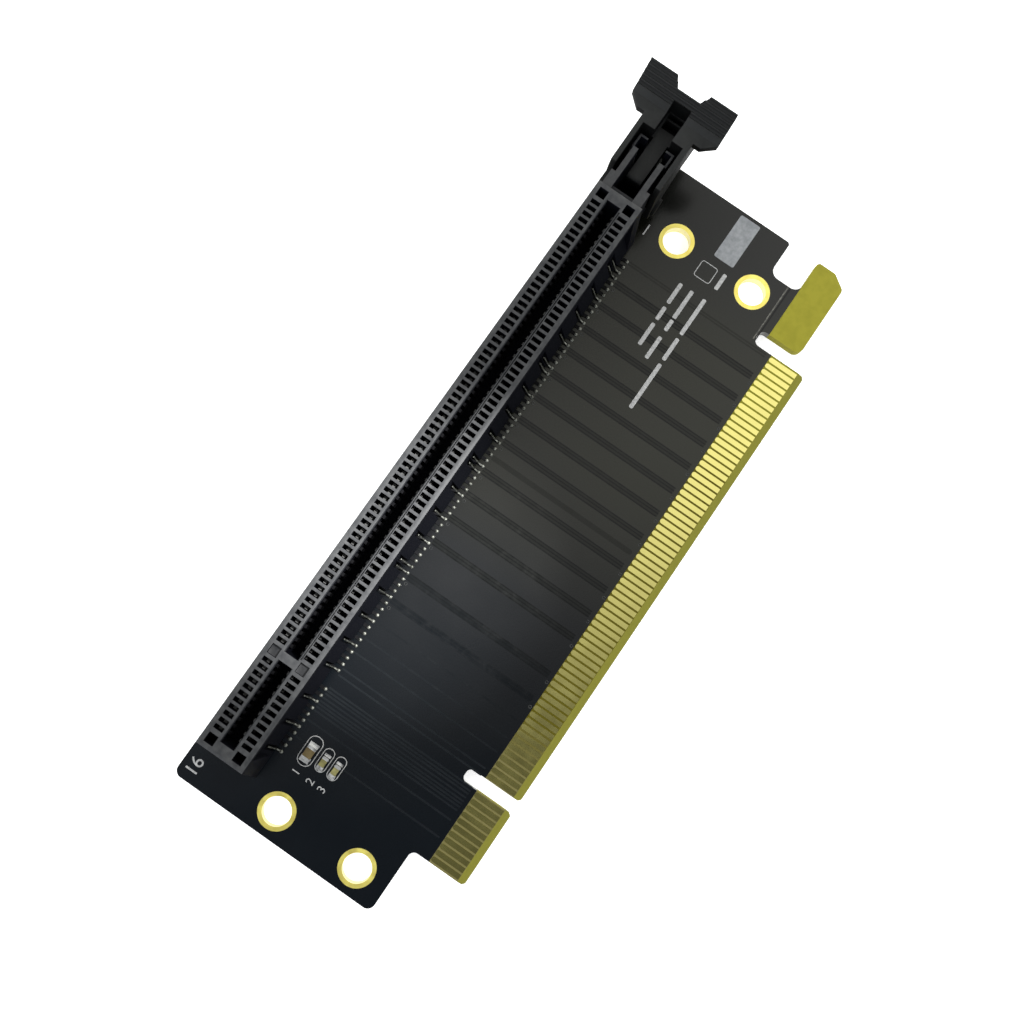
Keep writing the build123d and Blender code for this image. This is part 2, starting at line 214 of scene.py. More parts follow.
def addMath(nodes, links, kind, *values):
    step = nodes.new("ShaderNodeMath")
    step.operation = kind
    for slot, value in zip(step.inputs, values):
        if isinstance(value, (int, float)):
            slot.default_value = value
        else:
            links.new(value, slot)
    return step.outputs["Value"]


def addProduct(nodes, links, first, *others):
    for other in others:
        first = addMath(nodes, links, "MULTIPLY", first, other)
    return first


def addMix(nodes, links, share, a, b):
    # Inputs 6 and 7 and output 2 of a mix node are the ones for colours
    mix = nodes.new("ShaderNodeMix")
    mix.data_type = "RGBA"
    links.new(share, mix.inputs["Factor"])
    for slot, value in ((mix.inputs[6], a), (mix.inputs[7], b)):
        if isinstance(value, tuple):
            slot.default_value = (*value, 1)
        else:
            links.new(value, slot)
    return mix.outputs[2]


def addSplit(nodes, links, vector):
    parts = nodes.new("ShaderNodeSeparateXYZ")
    links.new(vector, parts.inputs[0])
    return parts.outputs


def addFacing(nodes, links, kind):
    facing = nodes.new("ShaderNodeNewGeometry")
    return addSplit(nodes, links, facing.outputs[kind])


def addWallZone(nodes, links):
    rise = addFacing(nodes, links, "True Normal")["Z"]
    return addMath(nodes, links, "LESS_THAN", addMath(nodes, links, "ABSOLUTE", rise), wallRise)


boardFinish = {
    # a noise has a scale and a detail, a bump a strength and a depth in metres
    "cloud": (90, 4),
    "cloudStops": (0.35, 0.75),
    "maskDark": (0.0010, 0.0013, 0.0016),
    "maskLight": (0.0018, 0.0020, 0.0021),
    "maskRoughness": (0.17, 0.22),
    "maskLeft": (0.0009, 0.0024, 0.0043),    # the mask is bluer towards the left end
    "leftTint": (-40, 4),
    "maskRightSheen": (0.0066, 0.0068, 0.0024),   # painted sheen: the mask is painted paler and more olive towards the right end, as if it mirrors the studio light there
    "rightSheenSpan": (-6, 14),
    "latchShadeSpan": (38, 50),                     # painted shade: less of that sheen beside the latch, where its dark mirror image falls
    "latchShadeShare": 0.2,
    "wall": (0.020, 0.019, 0.008),
    "fibre": (900, 3),
    "fibreStops": (0.3, 0.62),
    "laminateDark": (0.232, 0.214, 0.022),
    "laminate": (0.262, 0.243, 0.026),
    "bareRoughness": 0.75,
    "shine": (0.5, 0.12),                    # under the mask, and where the laminate is bare
    "bareUpTo": -13.86,                      # y where the bare card edge ends
    "hookFrom": 44.0,                        # and the bare hook, in x and y
    "hookUpTo": -11.95,
    "padsFrom": -18.45,                      # y where the bevel of the card edge ends
    "bevelDark": (0.150, 0.146, 0.026),
    "bevelShare": 0.65,
    "betweenPads": (0.085, 0.072, 0.003),
    # painted highlight: at the left end the laminate between the pads is painted paler, for the light caught
    # on the pads' edges
    "betweenLeftHighlight": (0.150, 0.134, 0.048),
    "leftHighlightPads": (-26, -19),
    "betweenRight": (0.190, 0.180, 0.014),
    "rightPads": (22, 34),
    "grain": (2600, 2),
    "bump": (0.10, 0.00002),
}


def makeBoardMaterial():
    # Black solder mask, with bare laminate on the card edge, the bevel and the hook
    f = boardFinish
    material, nodes, links, shader, place = startMaterial("boardMask")
    parts = addSplit(nodes, links, place)
    x, y = parts["X"], parts["Y"]
    cloud = addNoise(nodes, links, place, *f["cloud"])
    mask = addRamp(nodes, links, cloud, f["cloudStops"], f["maskDark"], f["maskLight"])
    leftShare = addFade(nodes, links, x, f["leftTint"], 1.0, 0.0)
    mask = addMix(nodes, links, leftShare, mask, f["maskLeft"])
    # painted sheen towards the right end, with painted shade taking it back beside the latch
    rightSheenShare = addProduct(nodes, links, addFade(nodes, links, x, f["rightSheenSpan"], 0.0, 1.0),
                            addFade(nodes, links, x, f["latchShadeSpan"], 1.0, f["latchShadeShare"]))
    mask = addMix(nodes, links, rightSheenShare, mask, f["maskRightSheen"])
    fibre = addNoise(nodes, links, place, *f["fibre"])
    bare = addRamp(nodes, links, fibre, f["fibreStops"], f["laminateDark"], f["laminate"])

    edgeZone = addMath(nodes, links, "LESS_THAN", y, f["bareUpTo"] * mm)
    hookZone = addProduct(nodes, links, addMath(nodes, links, "GREATER_THAN", x, f["hookFrom"] * mm),
                          addMath(nodes, links, "LESS_THAN", y, f["hookUpTo"] * mm))
    bareZone = addMath(nodes, links, "MAXIMUM", edgeZone, hookZone)
    wallZone = addWallZone(nodes, links)
    colour = addMix(nodes, links, wallZone, mask, f["wall"])
    colour = addMix(nodes, links, bareZone, colour, bare)

    pastBevel = addMath(nodes, links, "GREATER_THAN", y, f["padsFrom"] * mm)
    flat = addMath(nodes, links, "SUBTRACT", 1.0, wallZone)
    notHook = addMath(nodes, links, "SUBTRACT", 1.0, hookZone)
    between = addProduct(nodes, links, edgeZone, pastBevel, flat, notHook)
    # painted highlight between the pads towards the left end
    leftHighlightShare = addFade(nodes, links, x, f["leftHighlightPads"], 1.0, 0.0)
    padsRight = addFade(nodes, links, x, f["rightPads"], 0.0, 1.0)
    filling = addMix(nodes, links, leftHighlightShare, f["betweenPads"], f["betweenLeftHighlight"])
    filling = addMix(nodes, links, padsRight, filling, f["betweenRight"])
    colour = addMix(nodes, links, between, colour, filling)
    onBevel = addProduct(nodes, links, addMath(nodes, links, "SUBTRACT", 1.0, pastBevel), f["bevelShare"])
    colour = addMix(nodes, links, onBevel, colour, f["bevelDark"])
    links.new(colour, shader.inputs["Base Color"])

    gloss = addRange(nodes, links, cloud, *noiseSpan, *f["maskRoughness"])
    bareRough = addProduct(nodes, links, bareZone, f["bareRoughness"])
    links.new(addMath(nodes, links, "MAXIMUM", gloss, bareRough), shader.inputs["Roughness"])
    links.new(addRange(nodes, links, bareZone, 0.0, 1.0, *f["shine"]), shader.inputs["Specular IOR Level"])
    addBump(nodes, links, addNoise(nodes, links, place, *f["grain"]), shader, *f["bump"])
    return material


plasticFinish = {
    # painted light and shade: the top that looks up is painted paler, as if lit, and the sides and what lies
    # deep in the moulding are painted darker, as if shaded
    "housingPlastic": {
        "low": (0.030, 0.0310, 0.033), "high": (0.054, 0.0550, 0.056), "side": (0.0009, 0.0012, 0.0030),
        "rough": (0.42, 0.50), "sideRough": 0.8, "shine": (0.08, 0.20), "shadeDepth": (11.0, 12.7),
    },
    "latchPlastic": {
        "low": (0.0055, 0.0062, 0.0060), "high": (0.0095, 0.0104, 0.0100), "side": (0.0012, 0.0014, 0.0014),
        "rough": (0.50, 0.62), "sideRough": 0.7, "shine": (0.12, 0.28), "shadeDepth": (8.5, 12.4),
    },
}
plasticGrain = {
    "cloud": (1100, 4),
    "cloudStops": (0.32, 0.72),
    "upward": (0.35, 0.8),
    "grain": (5200, 3, 0.6),
    "bump": (0.22, 0.00003),
}


def makePlastic(name):
    # Glass-filled resin: slightly uneven, finely grained
    finish, g = plasticFinish[name], plasticGrain
    material, nodes, links, shader, place = startMaterial(name)
    cloud = addNoise(nodes, links, place, *g["cloud"])
    colour = addRamp(nodes, links, cloud, g["cloudStops"], finish["low"], finish["high"])
    # painted light and shade: faces that look up, high on the piece, get the pale mottled colour as if lit;
    # the sides and deep parts get the dark side colour as if shaded
    height = addFade(nodes, links, addSplit(nodes, links, place)["Z"], finish["shadeDepth"], 0.0, 1.0)
    upward = addRange(nodes, links, addFacing(nodes, links, "Normal")["Z"], *g["upward"], 0.0, 1.0)
    litTop = addProduct(nodes, links, upward, height)
    links.new(addMix(nodes, links, litTop, finish["side"], colour), shader.inputs["Base Color"])
    rough = addRange(nodes, links, cloud, *noiseSpan, *finish["rough"])
    onSide = addRange(nodes, links, litTop, 0.0, 1.0, finish["sideRough"], 0.0)
    links.new(addMath(nodes, links, "MAXIMUM", rough, onSide), shader.inputs["Roughness"])
    shine = addRange(nodes, links, litTop, 0.0, 1.0, *finish["shine"])
    links.new(shine, shader.inputs["Specular IOR Level"])
    addBump(nodes, links, addNoise(nodes, links, place, *g["grain"]), shader, *g["bump"])
    return material


metalFinish = {
    "edgeGold": {
        "low": (0.84, 0.76, 0.25), "high": (0.93, 0.85, 0.28), "rough": (0.11, 0.17), "scale": 420,
    },
    "ringGold": {
        "low": (0.84, 0.70, 0.16), "high": (0.95, 0.84, 0.22), "rough": (0.38, 0.50), "scale": 900,
        # painted highlight on the barrel wall
        "wall": (0.82, 0.76, 0.42),
    },
    "solderTin": {
        "low": (0.58, 0.58, 0.57), "high": (0.92, 0.92, 0.90), "rough": (0.22, 0.42), "scale": 1500,
    },
    "solder": {
        "low": (0.05, 0.052, 0.045), "high": (0.22, 0.225, 0.20), "rough": (0.45, 0.62), "scale": 2300,
    },
    "contactMetal": {
        "low": (0.060, 0.060, 0.058), "high": (0.085, 0.085, 0.082), "rough": (0.48, 0.62), "scale": 1300,
        # painted shade on the contacts below the tips
        "slotShade": (0.010, 0.010, 0.011), "slotShadeUpTo": (11.3, 11.75),
    },
}
metalGrain = {
    "detail": 3,
    "streak": 4,           # times finer than the metal's own noise
    "streakDetail": 2,
    "bump": (0.10, 0.00001),
}


def makeMetal(name):
    finish, g = metalFinish[name], metalGrain
    material, nodes, links, shader, place = startMaterial(name)
    cloud = addNoise(nodes, links, place, finish["scale"], g["detail"])
    colour = addRamp(nodes, links, cloud, noiseSpan, finish["low"], finish["high"])
    if "wall" in finish:
        # painted highlight: the barrel inside a plated hole is painted paler than its ring, as if lit
        colour = addMix(nodes, links, addWallZone(nodes, links), colour, finish["wall"])
    if "slotShade" in finish:
        # painted shade: below their tips the contacts are painted near black, as if shaded deep in the slot
        height = addSplit(nodes, links, place)["Z"]
        bright = addFade(nodes, links, height, finish["slotShadeUpTo"], 0.0, 1.0)
        colour = addMix(nodes, links, bright, finish["slotShade"], colour)
    links.new(colour, shader.inputs["Base Color"])
    shader.inputs["Metallic"].default_value = 1.0
    links.new(addRange(nodes, links, cloud, *noiseSpan, *finish["rough"]), shader.inputs["Roughness"])
    streak = addNoise(nodes, links, place, finish["scale"] * g["streak"], g["streakDetail"])
    addBump(nodes, links, streak, shader, *g["bump"])
    return material


paintFinish = {
    "ceramicBrown": {
        "low": (0.085, 0.060, 0.020), "high": (0.17, 0.125, 0.048), "rough": 0.42, "scale": 1200,
        "shine": 0.5,
    },
    "ceramicTan": {
        "low": (0.155, 0.140, 0.045), "high": (0.29, 0.265, 0.10), "rough": 0.42, "scale": 1200,
        "shine": 0.5,
    },
    "printWhite": {
        "low": (0.26, 0.26, 0.26), "high": (0.44, 0.44, 0.43), "rough": 0.6, "scale": 3000, "shine": 0.5,
    },
    "printGrey": {
        "low": (0.17, 0.18, 0.19), "high": (0.27, 0.28, 0.29), "rough": 0.6, "scale": 1500, "shine": 0.5,
    },
    # the mask over the traces, with its own tint towards the left end
    "gapMask": {
        "low": (0.0040, 0.0043, 0.0022), "high": (0.0054, 0.0056, 0.0028), "rough": 0.19, "scale": 900,
        "shine": 0.36, "left": (0.0006, 0.0016, 0.0028), "leftTint": (-18, 10),
    },
    # painted sheen: the fine lines are painted paler towards the left end, as if their ridges over the
    # traces catch the light
    "lineMask": {
        "low": (0.0007, 0.0009, 0.0011), "high": (0.0012, 0.0014, 0.0015), "rough": 0.19, "scale": 900,
        "shine": 0.28, "left": (0.0085, 0.0105, 0.0125), "leftTint": (-30, -10),
    },
    "viaMask": {
        "low": (0.016, 0.017, 0.017), "high": (0.034, 0.035, 0.034), "rough": 0.4, "scale": 2400,
        "shine": 0.5,
    },
    "seamSpeckle": {
        "low": (0.004, 0.004, 0.004), "high": (0.13, 0.125, 0.105), "rough": 0.6, "scale": 2600,
        "shine": 0.5,
    },
}
paintGrain = {
    "detail": 4,
    "spread": 0.06,        # of the roughness, up and down
    "bump": (0.15, 0.00001),
}


def makePaint(name):
    finish, g = paintFinish[name], paintGrain
    material, nodes, links, shader, place = startMaterial(name)
    cloud = addNoise(nodes, links, place, finish["scale"], g["detail"])
    colour = addRamp(nodes, links, cloud, noiseSpan, finish["low"], finish["high"])
    if "left" in finish:
        # a tint towards the left end; on the fine lines it is a painted sheen
        share = addFade(nodes, links, addSplit(nodes, links, place)["X"], finish["leftTint"], 1.0, 0.0)
        colour = addMix(nodes, links, share, colour, finish["left"])
    links.new(colour, shader.inputs["Base Color"])
    smoothest, roughest = finish["rough"] - g["spread"], finish["rough"] + g["spread"]
    links.new(addRange(nodes, links, cloud, *noiseSpan, smoothest, roughest), shader.inputs["Roughness"])
    shader.inputs["Specular IOR Level"].default_value = finish["shine"]
    addBump(nodes, links, cloud, shader, *g["bump"])
    return material


boardMask = makeBoardMaterial()
plastics = {name: makePlastic(name) for name in plasticFinish}
metals = {name: makeMetal(name) for name in metalFinish}
paints = {name: makePaint(name) for name in paintFinish}
print("materials made")

rows, faces, ends = ("long", "short"), ("front", "back"), ("left", "right")
nodeFinish = [
    (boardMask, ["circuit_board"]),
    (plastics["housingPlastic"], ["slot_housing"]),
    (plastics["latchPlastic"], ["retention_latch"]),
    (metals["contactMetal"], [f"contacts_{side}_{row}" for side in ("near", "far") for row in rows]),
    (metals["edgeGold"], [f"edge_fingers_{face}_{row}" for face in faces for row in rows]),
    (metals["ringGold"], [f"plated_hole_{face}_{end}" for face in faces for end in ends]),
    (metals["solderTin"], ["capacitor_pads"] + [f"capacitor_{i}_terminals" for i in (1, 2, 3)]),
    (paints["ceramicBrown"], ["capacitor_1_body"]),
    (paints["ceramicTan"], ["capacitor_2_body", "capacitor_3_body"]),
]
for finish, nodeNames in nodeFinish:
    for nodeName in nodeNames:
        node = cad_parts[nodeName]
        node.data.materials.clear()
        node.data.materials.append(finish)


# Card edge pads with rounded inner ends

padPlan = {
    "width": 0.72,
    "from": 1.1,           # from the card edge
    "to": 5.62,
    "round": 0.34,
    "segments": 5,
    "thick": 0.04,
}


def makePads(name, places, low, node):
    p = padPlan
    half, inner = p["width"] / 2, edgeY + p["to"]
    pad = addBlock("pad", -half, half, edgeY + p["from"], inner, low, low + p["thick"])
    roundUpright(pad, p["round"], p["segments"], lambda a: abs(a.y - inner) < tiny)
    row = repeatAt(pad, [(x, 0, 0) for x in places], name)
    dress(row, metals["edgeGold"])
    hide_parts(node)


makePads("padsFrontLong", longPins, boardTop - padPlan["thick"], "edge_fingers_front_long")
makePads("padsFrontShort", shortPins, boardTop - padPlan["thick"], "edge_fingers_front_short")
makePads("padsBackLong", longPins, 0.0, "edge_fingers_back_long")
makePads("padsBackShort", shortPins, 0.0, "edge_fingers_back_short")
print("pads made")


# Moulded pieces with softened edges, each from a merged copy of its node

mouldPlan = {
    "slot_housing": {
        "name": "slotHousing", "edge": 0.045,
        # thin grooves in its top: x, y and z from and to
        "grooves": [
            (keyX + 0.9, keyX + 72.2, slotY - 1.34, slotY - 1.17, 12.5, 13.2),
            (tongueRight + 2.6, tongueRight + 2.8, slotY - 1.6, slotY + 1.6, 11.4, 12.2),
        ],
    },
    "retention_latch": {"name": "retentionLatch", "edge": 0.07, "grooves": []},
}
mouldSteps = {
    "merge": 0.002,
    "segments": 2,
    "dissolve": 1.5,       # these three in degrees
    "bevelFrom": 28,
    "smoothUpTo": 35,
}


def cutGroove(piece, corners):
    cutter = addBlock("cutter", *corners)
    selectOnly(piece)
    cut = piece.modifiers.new("groove", "BOOLEAN")
    cut.operation = "DIFFERENCE"
    cut.solver = "EXACT"
    cut.object = cutter
    bpy.ops.object.modifier_apply(modifier=cut.name)
    bpy.data.objects.remove(cutter)


def softenEdges(piece, width):
    selectOnly(piece)
    bevel = piece.modifiers.new("edge", "BEVEL")
    bevel.width = width * mm
    bevel.segments = mouldSteps["segments"]
    bevel.limit_method = "ANGLE"
    bevel.angle_limit = math.radians(mouldSteps["bevelFrom"])
    bpy.ops.object.modifier_apply(modifier=bevel.name)


def makeMoulded(node, finish, body):
    p, steps = mouldPlan[node], mouldSteps
    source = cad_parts[node]
    piece = source.copy()
    piece.data = source.data.copy()
    piece.name = p["name"]
    bpy.context.collection.objects.link(piece)
    piece.parent = None
    piece.matrix_world = Matrix.Identity(4)
    selectOnly(piece)
    bpy.ops.object.mode_set(mode="EDIT")
    bpy.ops.mesh.select_mode(type="VERT")
    bpy.ops.mesh.select_all(action="SELECT")
    bpy.ops.mesh.remove_doubles(threshold=steps["merge"] * mm)
    bpy.ops.object.mode_set(mode="OBJECT")
    for corners in p["grooves"]:
        cutGroove(piece, corners)
    selectOnly(piece)
    bpy.ops.object.mode_set(mode="EDIT")
    bpy.ops.mesh.select_all(action="SELECT")
    bpy.ops.mesh.dissolve_limited(angle_limit=math.radians(steps["dissolve"]))
    bpy.ops.object.mode_set(mode="OBJECT")
    softenEdges(piece, p["edge"])
    selectOnly(piece)
    bpy.ops.object.shade_smooth_by_angle(angle=math.radians(steps["smoothUpTo"]))
    dress(piece, finish, body)
    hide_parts(node)
    print(p["name"], len(piece.data.polygons), "faces")


makeMoulded("slot_housing", plastics["housingPlastic"], "card")
makeMoulded("retention_latch", plastics["latchPlastic"], "latch")


# Traces under the mask: wide bands with three fine lines along each, and lines on their own

tracePlan = {
    # the middle of each strip, from the key
    "bands": [13.15, 17.15, 23.1, 27.1, 31.05, 35.0, 39.95, 43.95, 47.9, 51.95, 55.9, 59.95, 64.0, 67.9],
    "bandWidth": 1.1,
    "bandHeight": 0.006,
    "narrowBands": [(37.3, 0.75), (71.35, 0.22), (71.75, 0.22), (68.4, 0.2)],     # middle and width
    "inBand": (-0.42, 0.04, 0.46),     # fine lines, from the middle of their band
    "fineWidth": 0.14,
    "lines": [-8.8, -6.1, -4.6, -4.05, -3.6, -3.15, -2.6, -2.0, -1.55, -1.05, 1.0, 2.0, 4.7, 7.0, 9.7],
    "lineWidth": 0.26,
    "lineHeight": 0.012,
    "from": 6.3,                       # from the card edge
    "to": 29.8,
    "corner": 0.45,                    # share of a strip's width
}


def layStrips(name, strips, height, finish):
    p = tracePlan
    pieces = []
    for middle, width in strips:
        strip = addLayer("strip", middle - width / 2, middle + width / 2, p["from"], p["to"], height)
        roundUpright(strip, width * p["corner"])
        pieces.append(strip)
    dress(joinAll(pieces, name), finish)


def makeTraces():
    p = tracePlan
    bands = [(middle, p["bandWidth"]) for middle in p["bands"]] + p["narrowBands"]
    lines = [(middle + step, p["fineWidth"]) for middle in p["bands"] for step in p["inBand"]]
    lines += [(middle, p["lineWidth"]) for middle in p["lines"]]
    layStrips("traceBands", bands, p["bandHeight"], paints["gapMask"])
    layStrips("traceLines", lines, p["lineHeight"], paints["lineMask"])


makeTraces()
print("traces made")


# Printed marks: plain bars, boxes, outlines and numbers

markPlan = {
    "height": 0.02,
    # x from and to, measured from the key, and y from and to, measured from the card edge
    "bars": [
        (62.5, 66.3, 21.65, 22.25), (66.95, 69.2, 21.65, 22.25), (69.85, 73.4, 21.65, 22.25),
        (61.4, 65.2, 19.75, 20.35), (66.3, 68.2, 19.75, 20.35), (68.5, 73.4, 19.75, 20.35),
        (54.2, 61.9, 17.6, 18.2), (62.6, 66.4, 17.6, 18.2), (67.1, 73.4, 17.6, 18.2),
        (75.5, 78.2, 17.2, 17.8), (76.2, 78.0, 30.4, 30.6),
    ],
    "barCorner": 0.2,
    "barCornerShare": 0.4,             # of a bar's width, where that is less
    "box": (79.6, 87.0, 17.2, 20.5),
    "boxCorner": 0.25,
    "boxCornerSegments": 4,
    "boxRim": 0.16,
    # a last number is the radius of the corners
    "sign": (75.5, 78.2, 18.7, 21.4, 0.4),
    "rounded": [
        (-11.5, -7.1, 25.85, 28.05, 1.0),
        (-10.95, -7.45, 23.85, 25.45, 0.75),
        (-10.95, -7.45, 21.9, 23.5, 0.75),
    ],
    "outlineSegments": 6,
    "outlineWidth": 0.11,
    # x, y and height of each
    "numbers": [
        ("1", -12.55, 26.9, 1.2),
        ("2", -12.55, 24.6, 1.2),
        ("3", -12.55, 22.75, 1.2),
        ("16", -19.5, 38.35, 1.9),
    ],
    "textSize": 1.38,                  # for a number of height 1
}


def drawOutline(x0, x1, y0, y1, radius):
    # A flat rounded loop of printed line
    p = markPlan
    selectNone()
    middle = ((keyX + (x0 + x1) / 2) * mm, (edgeY + (y0 + y1) / 2) * mm, (boardTop + p["height"]) * mm)
    bpy.ops.mesh.primitive_plane_add(size=1, location=middle)
    loop = bpy.context.object
    loop.scale = ((x1 - x0) * mm, (y1 - y0) * mm, 1)
    applyPlace(loop)
    bpy.ops.object.mode_set(mode="EDIT")
    bpy.ops.mesh.select_all(action="SELECT")
    bpy.ops.mesh.bevel(offset=radius * mm, segments=p["outlineSegments"], affect="VERTICES")
    bpy.ops.mesh.select_all(action="SELECT")
    bpy.ops.mesh.inset(thickness=p["outlineWidth"] * mm)
    bpy.ops.mesh.delete(type="FACE")
    bpy.ops.mesh.select_all(action="SELECT")
    bpy.ops.mesh.extrude_region_move(TRANSFORM_OT_translate={"value": (0, 0, -(p["height"] + sunk) * mm)})
    turnFacesOut()
    return loop


def drawNumber(text, x, y, height):
    p = markPlan
    selectNone()
    bpy.ops.object.text_add(location=((keyX + x) * mm, (edgeY + y) * mm, boardTop * mm))
    number = bpy.context.object
    number.data.body = text
    number.data.size = height * p["textSize"] * mm
    number.data.align_x = "CENTER"
    number.data.align_y = "CENTER"
    number.data.extrude = p["height"] * mm
    selectOnly(number)
    bpy.ops.object.convert(target="MESH")
    number = bpy.context.object
    applyPlace(number)
    return number


def drawBar(x0, x1, y0, y1):
    p = markPlan
    bar = addLayer("bar", x0, x1, y0, y1, p["height"])
    roundUpright(bar, min(p["barCorner"], (y1 - y0) * p["barCornerShare"]))
    return bar


def makeMarks():
    p = markPlan
    pieces = [drawBar(*bar) for bar in p["bars"]]
    pieces += [drawOutline(*outline) for outline in [p["sign"]] + p["rounded"]]
    pieces += [drawNumber(*number) for number in p["numbers"]]
    dress(joinAll(pieces, "printedMarks"), paints["printWhite"])
    panel = addLayer("blankPanel", *p["box"], p["height"])
    roundUpright(panel, p["boxCorner"], p["boxCornerSegments"])
    selectTop(panel)
    bpy.ops.mesh.inset(thickness=p["boxRim"] * mm)
    bpy.ops.object.mode_set(mode="OBJECT")
    dress(panel, paints["printGrey"])


makeMarks()
print("marks made")


# Spring contacts, each a bent strip from its foot on the board to its tip under a window

contactPlan = {
    "width": 0.46,
    "thickness": 0.16,
    # distance from the slot's middle line, and height above the board
    "near": [(5.0, 0.1), (3.0, 0.1), (2.66, 0.5), (2.5, 2.6), (1.0, 8.4), (0.55, 9.4),
             (0.75, 9.85), (1.5, 10.12), (1.72, 10.15)],
    "far": [(5.0, 0.1), (3.0, 0.1), (2.66, 0.5), (2.5, 2.6), (1.0, 7.9), (0.6, 8.8),
            (0.8, 9.4), (1.9, 10.1), (2.3, 10.12)],
    # the tail of a contact that shows in a side groove
    "tail": [(3.35, 2.5), (3.45, 2.5), (4.3, 0.42), (4.75, 0.16)],
    "tailWidth": 0.17,
    "tailThickness": 0.12,
}


def addStrip(points, width, thickness):
    # A plane for the first, level stretch, then its end edge pulled from point to point
    (y0, z0), (y1, _) = points[:2]
    selectNone()
    bpy.ops.mesh.primitive_plane_add(size=1, location=(0, (y0 + y1) / 2 * mm, z0 * mm))
    strip = bpy.context.object
    strip.scale = (width * mm, abs(y1 - y0) * mm, 1)
    applyPlace(strip)
    selectEdges(strip, lambda a, b: abs(a.y - y1) < tiny and abs(b.y - y1) < tiny)
    for (ya, za), (yb, zb) in zip(points[1:], points[2:]):
        pull = (0, (yb - ya) * mm, (zb - za) * mm)
        bpy.ops.mesh.extrude_edges_move(TRANSFORM_OT_translate={"value": pull})
    bpy.ops.object.mode_set(mode="OBJECT")
    selectOnly(strip)
    wall = strip.modifiers.new("wall", "SOLIDIFY")
    wall.thickness = thickness * mm
    wall.offset = 0
    wall.use_even_offset = True
    bpy.ops.object.modifier_apply(modifier=wall.name)
    bpy.ops.object.mode_set(mode="EDIT")
    turnFacesOut()
    return strip


def makeContacts():
    p = contactPlan
    for side, label in ((-1, "near"), (1, "far")):
        line = [(side * y, z) for y, z in p[label]]
        for places, length in ((longPins, "Long"), (shortPins, "Short")):
            strip = addStrip(line, p["width"], p["thickness"])
            row = repeatAt(strip, [(x, slotY, boardTop) for x in places], label + "Contacts" + length)
            dress(row, metals["contactMetal"])
            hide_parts("contacts_" + label + "_" + length.lower())


makeContacts()
print("contacts made")


# Tented vias at both ends of each wide band of traces

viaPlan = {
    "radius": 0.2,
    "wall": 0.045,
    "rows": (6.05, 29.45),     # from the card edge
    "shift": -1.0,             # from the middle of the band
    "smoothUpTo": 60,
}


def makeVias():
    p = viaPlan
    selectNone()
    bpy.ops.mesh.primitive_torus_add(major_radius=p["radius"] * mm, minor_radius=p["wall"] * mm,
                                     major_segments=12, minor_segments=4, location=(0, 0, 0))
    ring = bpy.context.object
    places = [(keyX + middle + p["shift"], edgeY + y, boardTop)
              for middle in tracePlan["bands"] for y in p["rows"]]
    dress(repeatAt(ring, places, "tentedVias"), paints["viaMask"])
    bpy.ops.object.shade_smooth_by_angle(angle=math.radians(p["smoothUpTo"]))


# The seam across the hook's neck, where the mask ends, and the rough strip beside it

neckPlan = {
    "x": (72.6, 82),           # from the key
    # from and to, measured from the card edge, and height
    "seam": (8.68, 8.84, 0.006),
    "speckle": (9.02, 9.22, 0.008),
}


def makeNeckSeam():
    p = neckPlan
    dress(addLayer("neckSeam", *p["x"], *p["seam"]), paints["lineMask"])
    dress(addLayer("neckSpeckle", *p["x"], *p["speckle"]), paints["seamSpeckle"])


# Contact tails in the side grooves, and solder at the feet

solderPlan = {
    # a side groove at every fourth pin, counted anew after each run of pins, and none at the last pin
    "step": 4,
    "run": 17,
    "middle": {"Near": 4.93, "Far": 4.78},      # from the slot's middle line
    "size": (0.29, 0.33, 0.19),
    "rise": 0.07,
    "smoothUpTo": 60,
}


def makeSolder():
    p, c = solderPlan, contactPlan
    groovePins = shortPins[::-1][::p["step"]] + [
        longPins[first + i] for first in range(0, longCount, p["run"]) for i in range(0, p["run"], p["step"])
        if first + i < longCount - 1]
    for side, label in ((-1, "Near"), (1, "Far")):
        tail = addStrip([(side * y, z) for y, z in c["tail"]], c["tailWidth"], c["tailThickness"])
        row = repeatAt(tail, [(x, slotY, boardTop) for x in groovePins], "contactTails" + label)
        dress(row, metals["solder"])
        selectNone()
        bpy.ops.mesh.primitive_uv_sphere_add(segments=8, ring_count=6, radius=mm,
                                             location=(0, side * p["middle"][label] * mm, p["rise"] * mm))
        mound = bpy.context.object
        mound.scale = p["size"]
        applyPlace(mound)
        row = repeatAt(mound, [(x, slotY, boardTop) for x in allPins], "solder" + label)
        dress(row, metals["solder"])
        bpy.ops.object.shade_smooth_by_angle(angle=math.radians(p["smoothUpTo"]))


makeVias()
makeNeckSeam()
makeSolder()
print("solder made")


# Camera, light and floor

cameraPlan = {
    "place": (-15.23, -1.18, 148.72),
    "right": (0.56816167, -0.82186169, 0.04166151),
    "up": (0.8141527, 0.56875889, 0.11691326),
    "back": (-0.11978188, -0.0325068, 0.99226791),
    "lens": 37.75,
    "sensor": 36,
    "clip": (0.005, 20),       # in metres
}


def makeCamera():
    p = cameraPlan
    data = bpy.data.cameras.new("camera")
    data.sensor_width = p["sensor"]
    data.lens = p["lens"]
    data.clip_start, data.clip_end = p["clip"]
    camera = bpy.data.objects.new("camera", data)
    turn = Matrix((p["right"], p["up"], p["back"])).transposed().to_4x4()
    place = Matrix.Translation(Vector(p["place"]) * mm)
    camera.matrix_world = place @ turn
    bpy.context.collection.objects.link(camera)
    bpy.context.scene.camera = camera


